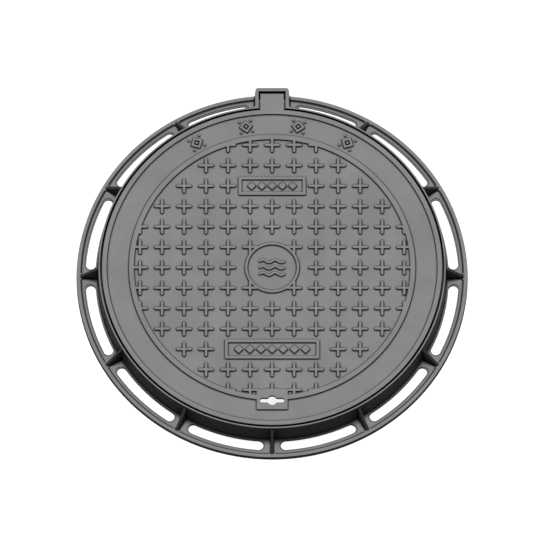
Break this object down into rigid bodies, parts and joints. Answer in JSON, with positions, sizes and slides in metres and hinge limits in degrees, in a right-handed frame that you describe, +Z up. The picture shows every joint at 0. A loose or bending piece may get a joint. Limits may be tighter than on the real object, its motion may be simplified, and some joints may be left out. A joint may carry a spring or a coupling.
{
  "type": "manhole cover",
  "caption": "Round hinged manhole cover with plus tread and keyhole, seated in a flanged round frame with hinge box and slotted flange.",
  "frame": {"origin": "centre of the flange's underside, where the frame rests on the masonry", "axes": "+Z up out of the road, +Y from the centre to the hinge box, -Y to the keyhole"},
  "size_m": [0.8, 0.8, 0.06],
  "materials": {
    "cast_iron_frame": "ductile iron casting, thin grey coating",
    "cast_iron_cover": "ductile iron casting, thin grey coating",
    "cast_iron_latch": "ductile iron casting",
    "rubber": "black moulded rubber",
    "steel": "steel with a dull zinc-flake coating"
  },
  "bodies": {
    "frame_body": {"frame": "cast_iron_frame", "seat_gasket": "rubber"},
    "cover_body": {"cover": "cast_iron_cover", "hinge_pin": "steel", "hinge_roll_pin": "steel", "latch_pin": "steel", "latch_washer": "steel", "latch_wave_washer": "steel", "latch_split_pin": "steel"},
    "latch_body": {"latch": "cast_iron_latch"}
  },
  "joints": [
    {"name": "cover_hinge", "type": "hinge", "parent": "frame_body", "child": "cover_body", "pos_m": [0, 0.368, 0.05], "axis": [-1, 0, 0], "range_deg": [0, 125]},
    {"name": "latch_turn", "type": "hinge", "parent": "cover_body", "child": "latch_body", "pos_m": [0, -0.313, 0.039], "axis": [1, 0, 0], "range_deg": [-30, 0]}
  ]
}
